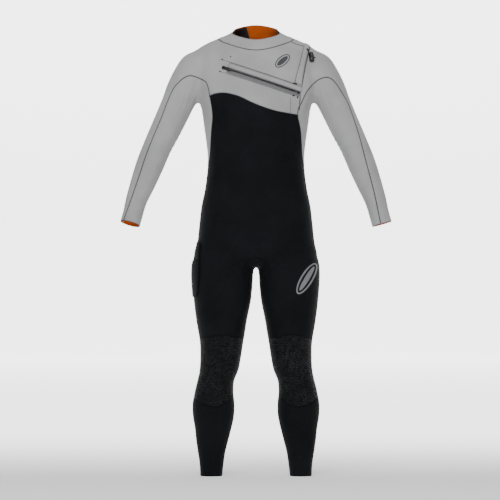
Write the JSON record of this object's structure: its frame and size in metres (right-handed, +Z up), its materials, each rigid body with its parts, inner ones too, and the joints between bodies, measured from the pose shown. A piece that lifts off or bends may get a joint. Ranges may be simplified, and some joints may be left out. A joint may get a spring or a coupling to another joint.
{
  "type": "full wetsuit",
  "caption": "Men's long-sleeved chest-zip full wetsuit in worn shape: grey upper, black body and legs, padded knees, orange lining, hinged elbows and knees, running zip",
  "frame": {"origin": "on the plane of the two ankle hems, midway between the legs and midway between the front and the back of the box", "axes": "+Z up the body, the front of the chest faces -Y, the wearer's right arm lies towards -X"},
  "size_m": [0.8696, 0.251, 1.446],
  "materials": {
    "jersey_grey": "matte",
    "jersey_black": "matte",
    "knee_print": "matte",
    "orange_lining": "matte",
    "smooth_skin": "satin",
    "zip_tape": "matte",
    "cord": "matte",
    "black_plastic": "satin",
    "steel": "satin",
    "dark_print": "matte",
    "pale_print": "matte"
  },
  "bodies": {
    "suit": {"chest_yoke_with_right_sleeve": "jersey_grey", "left_shoulder_with_sleeve": "jersey_grey", "upper_back_panel": "jersey_grey", "front_panel": "jersey_black", "lower_back_panel": "jersey_black", "crotch_gusset": "jersey_black", "collar": "jersey_grey", "neck_barrier": "smooth_skin", "underarm_panel_right": "jersey_grey", "underarm_panel_left": "jersey_grey", "elbow_outer_right": "jersey_grey", "elbow_outer_left": "jersey_grey", "elbow_inner_right": "jersey_grey", "elbow_inner_left": "jersey_grey", "knee_pad_right": "knee_print", "knee_pad_left": "knee_print", "knee_back_right": "jersey_black", "knee_back_left": "jersey_black", "zip_welt": "jersey_grey", "shoulder_flap_welt": "jersey_grey", "thigh_pocket": "jersey_black", "thigh_pocket_flap": "jersey_black", "chest_print": "dark_print", "thigh_print": "pale_print", "zip_tape_upper": "zip_tape", "zip_tape_lower": "zip_tape", "zip_coil_upper": "black_plastic", "zip_coil_lower": "black_plastic", "zip_guard": "smooth_skin", "zip_stop_upper": "steel", "zip_stop_lower": "steel", "zip_pin": "black_plastic", "zip_box": "black_plastic", "cord_lock_barrel": "black_plastic", "cord_lock_spring": "steel", "drawcord_eyelet": "steel", "drawcord": "cord", "drawcord_end": "black_plastic"},
    "forearm_right": {"forearm_outer_right": "jersey_grey", "forearm_inner_right": "jersey_grey", "wrist_hem_tape_right": "orange_lining"},
    "lower_leg_right": {"shin_panel_right": "jersey_black", "calf_panel_right": "jersey_black", "ankle_hem_tape_right": "orange_lining"},
    "forearm_left": {"forearm_outer_left": "jersey_grey", "forearm_inner_left": "jersey_grey", "wrist_hem_tape_left": "orange_lining"},
    "lower_leg_left": {"shin_panel_left": "jersey_black", "calf_panel_left": "jersey_black", "ankle_hem_tape_left": "orange_lining"},
    "zip_slider": {"zip_slider": "steel"},
    "zip_pull": {"zip_pull": "black_plastic"},
    "cord_lock_plunger": {"cord_lock_plunger": "black_plastic"}
  },
  "joints": [
    {"name": "elbow_right", "type": "hinge", "parent": "suit", "child": "forearm_right", "pos_m": [-0.314, -0.0075, 1.056], "axis": [-0.9125, 0, 0.4091], "range_deg": [0, 105], "stiffness_Nm_per_rad": 0.15, "deforming": ["elbow_outer_right", "elbow_inner_right"]},
    {"name": "knee_right", "type": "hinge", "parent": "suit", "child": "lower_leg_right", "pos_m": [-0.117, -0.0005, 0.345], "axis": [1, 0, 0], "range_deg": [0, 100], "stiffness_Nm_per_rad": 0.3, "deforming": ["knee_pad_right", "knee_back_right"]},
    {"name": "elbow_left", "type": "hinge", "parent": "suit", "child": "forearm_left", "pos_m": [0.314, -0.0075, 1.056], "axis": [-0.9125, 0, -0.4091], "range_deg": [0, 105], "stiffness_Nm_per_rad": 0.15, "deforming": ["elbow_outer_left", "elbow_inner_left"]},
    {"name": "knee_left", "type": "hinge", "parent": "suit", "child": "lower_leg_left", "pos_m": [0.117, -0.0005, 0.345], "axis": [1, 0, 0], "range_deg": [0, 100], "stiffness_Nm_per_rad": 0.3, "deforming": ["knee_pad_left", "knee_back_left"]},
    {"name": "zip_run", "type": "hinge", "parent": "suit", "child": "zip_slider", "pos_m": [0.01091, 0.19764, 1.26902], "axis": [0.314, 0, 0.9494], "range_deg": [0, 39.1]},
    {"name": "pull_swing", "type": "hinge", "parent": "zip_slider", "child": "zip_pull", "pos_m": [-0.08415, -0.11127, 1.30046], "axis": [0.314, 0, 0.9494], "range_deg": [0, 150]},
    {"name": "cord_lock_press", "type": "slide", "parent": "suit", "child": "cord_lock_plunger", "axis": [0.0592, -0.2778, -0.9588], "range_m": [0, 0.005], "stiffness_N_per_m": 600, "deforming": ["cord_lock_spring"]}
  ]
}
